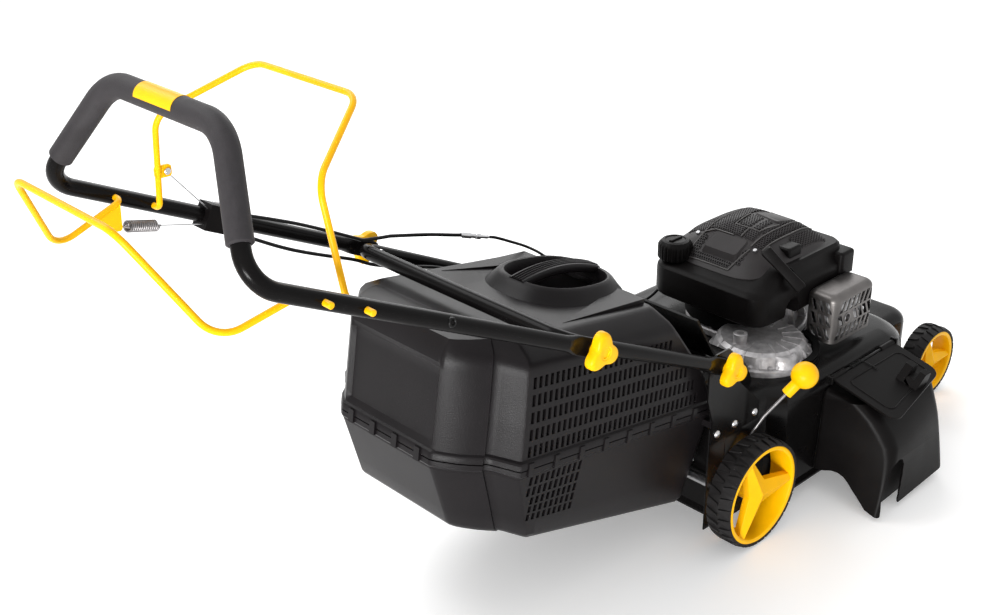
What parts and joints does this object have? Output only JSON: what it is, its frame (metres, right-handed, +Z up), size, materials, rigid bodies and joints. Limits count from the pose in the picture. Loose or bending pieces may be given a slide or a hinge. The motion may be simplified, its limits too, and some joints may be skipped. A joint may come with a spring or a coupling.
{
  "type": "walk-behind lawn mower",
  "caption": "Walk-behind petrol rotary mower with a folding tube handle, two wire bails, a rear grass box, a side discharge chute and a single height lever.",
  "frame": {"origin": "bottom centre of the outer box, on the ground", "axes": "+X forward, +Y to the machine's left, +Z up"},
  "size_m": [1.8126, 0.693, 0.9615],
  "materials": {
    "black_paint": "gloss black paint",
    "black_plastic": "textured black plastic",
    "foam": "matt foam",
    "yellow_plastic": "gloss yellow plastic",
    "yellow_paint": "gloss yellow paint",
    "steel": "plated steel",
    "alloy": "cast alloy",
    "tyre": "moulded rubber",
    "cable": "smooth rubber"
  },
  "bodies": {
    "chassis": {"deck_shell": "black_paint", "handle_bracket_left": "black_paint", "handle_bracket_right": "black_paint", "deck_fasteners": "steel", "flap_pins": "steel", "pivot_bolts": "steel", "engine_block": "alloy", "blower_shroud": "black_plastic", "top_cover": "black_plastic", "fuel_tank": "black_plastic", "muffler": "steel", "muffler_guard": "alloy", "air_filter": "black_plastic", "carburettor": "alloy", "spark_plug": "steel", "drive_belt": "cable", "lower_cables": "cable", "cable_adjuster": "steel"},
    "fuel_cap": {"fuel_cap": "black_plastic"},
    "starter": {"starter_grip": "black_plastic"},
    "crank": {"crankshaft": "steel", "flywheel": "alloy", "blade_adapter": "alloy", "blade": "steel", "blade_bolt": "steel"},
    "rear_axle": {"rear_axle": "steel", "height_lever": "steel", "lever_ball": "yellow_plastic"},
    "gearbox": {"gearbox": "alloy"},
    "gear_pulley": {"gearbox_pulley": "steel"},
    "front_axle": {"front_axle": "steel"},
    "link": {"link_rod": "steel"},
    "wheel_rear_left": {"tyre_rear_left": "tyre", "rim_rear_left": "yellow_plastic"},
    "wheel_rear_right": {"tyre_rear_right": "tyre", "rim_rear_right": "yellow_plastic"},
    "wheel_front_left": {"tyre_front_left": "tyre", "rim_front_left": "yellow_plastic"},
    "wheel_front_right": {"tyre_front_right": "tyre", "rim_front_right": "yellow_plastic"},
    "rear_flap": {"rear_flap": "black_paint"},
    "side_flap": {"side_flap": "black_plastic"},
    "side_chute": {"side_chute": "black_plastic"},
    "grass_box": {"box_tray": "black_plastic", "box_hood": "black_plastic"},
    "lower_handle": {"lower_handle": "black_paint", "handle_bolts": "steel"},
    "upper_handle": {"upper_handle": "black_paint", "handle_grip": "foam", "cable_clamp": "black_plastic", "handle_cables": "cable", "brake_wire": "steel", "drive_wire": "steel", "drive_spring": "steel"},
    "brake_bail": {"brake_bail": "yellow_paint"},
    "drive_bail": {"drive_bail": "yellow_paint"},
    "knob_lower_left": {"knob_lower_left": "yellow_plastic"},
    "knob_lower_right": {"knob_lower_right": "yellow_plastic"},
    "knob_upper_left": {"knob_upper_left": "yellow_plastic"},
    "knob_upper_right": {"knob_upper_right": "yellow_plastic"}
  },
  "joints": [
    {"name": "height_adjust", "type": "hinge", "parent": "chassis", "child": "rear_axle", "pos_m": [0.09736, 0.0555, 0.108], "axis": [0, 1, 0], "range_deg": [-24, 24], "deforming": ["drive_belt"]},
    {"name": "front_height", "type": "hinge", "parent": "chassis", "child": "front_axle", "pos_m": [0.78436, 0.0555, 0.084], "axis": [0, 1, 0], "range_deg": [-24, 24]},
    {"name": "link_swing", "type": "hinge", "parent": "rear_axle", "child": "link", "pos_m": [0.09736, 0.2455, 0.158], "axis": [0, 1, 0], "range_deg": [-24, 24]},
    {"name": "gearbox_float", "type": "hinge", "parent": "rear_axle", "child": "gearbox", "pos_m": [0.14336, 0.1905, 0.1], "axis": [0, 1, 0], "range_deg": [-24, 24]},
    {"name": "gear_pulley_spin", "type": "hinge", "parent": "gearbox", "child": "gear_pulley", "pos_m": [0.16336, 0.1905, 0.184], "axis": [0, 0, 1], "continuous": true},
    {"name": "crank_spin", "type": "hinge", "parent": "chassis", "child": "crank", "pos_m": [0.46336, 0.0555, 0.2], "axis": [0, 0, 1], "continuous": true},
    {"name": "rear_left_spin", "type": "hinge", "parent": "rear_axle", "child": "wheel_rear_left", "pos_m": [0.14336, 0.3215, 0.1], "axis": [0, 1, 0], "continuous": true},
    {"name": "rear_right_spin", "type": "hinge", "parent": "rear_axle", "child": "wheel_rear_right", "pos_m": [0.14336, -0.2105, 0.1], "axis": [0, 1, 0], "continuous": true},
    {"name": "front_left_spin", "type": "hinge", "parent": "front_axle", "child": "wheel_front_left", "pos_m": [0.83036, 0.2585, 0.076], "axis": [0, 1, 0], "continuous": true},
    {"name": "front_right_spin", "type": "hinge", "parent": "front_axle", "child": "wheel_front_right", "pos_m": [0.83036, -0.1475, 0.076], "axis": [0, 1, 0], "continuous": true},
    {"name": "lower_handle_fold", "type": "hinge", "parent": "chassis", "child": "lower_handle", "pos_m": [0.08936, 0.0555, 0.351], "axis": [0, 1, 0], "range_deg": [0, 130], "deforming": ["lower_cables", "cable_adjuster"]},
    {"name": "upper_handle_fold", "type": "hinge", "parent": "lower_handle", "child": "upper_handle", "pos_m": [-0.26534, 0.0555, 0.52708], "axis": [0, -1, 0], "range_deg": [-125, 0]},
    {"name": "brake_bail_squeeze", "type": "hinge", "parent": "upper_handle", "child": "brake_bail", "pos_m": [-0.66214, 0.0555, 0.72405], "axis": [0, -1, 0], "range_deg": [0, 40], "stiffness_Nm_per_rad": 1.2, "springref_deg": -28.65, "deforming": ["brake_wire"]},
    {"name": "drive_bail_squeeze", "type": "hinge", "parent": "upper_handle", "child": "drive_bail", "pos_m": [-0.72036, 0.0555, 0.75295], "axis": [0, 1, 0], "range_deg": [0, 40], "stiffness_Nm_per_rad": 1.2, "springref_deg": -28.65, "deforming": ["drive_wire", "drive_spring"]},
    {"name": "rear_flap_lift", "type": "hinge", "parent": "chassis", "child": "rear_flap", "pos_m": [0.16536, 0.0555, 0.306], "axis": [0, 1, 0], "range_deg": [0, 60]},
    {"name": "side_flap_lift", "type": "hinge", "parent": "chassis", "child": "side_flap", "pos_m": [0.48136, -0.2015, 0.226], "axis": [-1, 0, 0], "range_deg": [0, 80], "stiffness_Nm_per_rad": 0.3, "springref_deg": -45.84},
    {"name": "chute_pull", "type": "slide", "parent": "chassis", "child": "side_chute", "axis": [0, -0.9703, -0.2421], "range_m": [0, 0.03]},
    {"name": "box_pull", "type": "slide", "parent": "chassis", "child": "grass_box", "axis": [-1, 0, 0], "range_m": [0, 0.5]},
    {"name": "starter_pull", "type": "slide", "parent": "chassis", "child": "starter", "axis": [-0.7789, -0.0999, 0.6191], "range_m": [0, 0.4], "stiffness_N_per_m": 30, "springref_m": -0.3},
    {"name": "fuel_cap_turn", "type": "hinge", "parent": "chassis", "child": "fuel_cap", "pos_m": [0.34436, 0.1455, 0.39], "axis": [0, 0, 1], "range_deg": [0, 120]},
    {"name": "knob_lower_left_turn", "type": "hinge", "parent": "chassis", "child": "knob_lower_left", "pos_m": [0.08936, 0.3015, 0.351], "axis": [0, 1, 0], "continuous": true},
    {"name": "knob_lower_right_turn", "type": "hinge", "parent": "chassis", "child": "knob_lower_right", "pos_m": [0.08936, -0.1905, 0.351], "axis": [0, 1, 0], "continuous": true},
    {"name": "knob_upper_left_turn", "type": "hinge", "parent": "lower_handle", "child": "knob_upper_left", "pos_m": [-0.26534, 0.3245, 0.52708], "axis": [0, 1, 0], "continuous": true},
    {"name": "knob_upper_right_turn", "type": "hinge", "parent": "lower_handle", "child": "knob_upper_right", "pos_m": [-0.26534, -0.2135, 0.52708], "axis": [0, 1, 0], "continuous": true}
  ],
  "couplings": [
    {"joint": "front_height", "follows": "height_adjust", "ratio": 1},
    {"joint": "link_swing", "follows": "height_adjust", "ratio": -1},
    {"joint": "gearbox_float", "follows": "height_adjust", "ratio": -1},
    {"joint": "gear_pulley_spin", "follows": "crank_spin", "ratio": 0.71111}
  ]
}
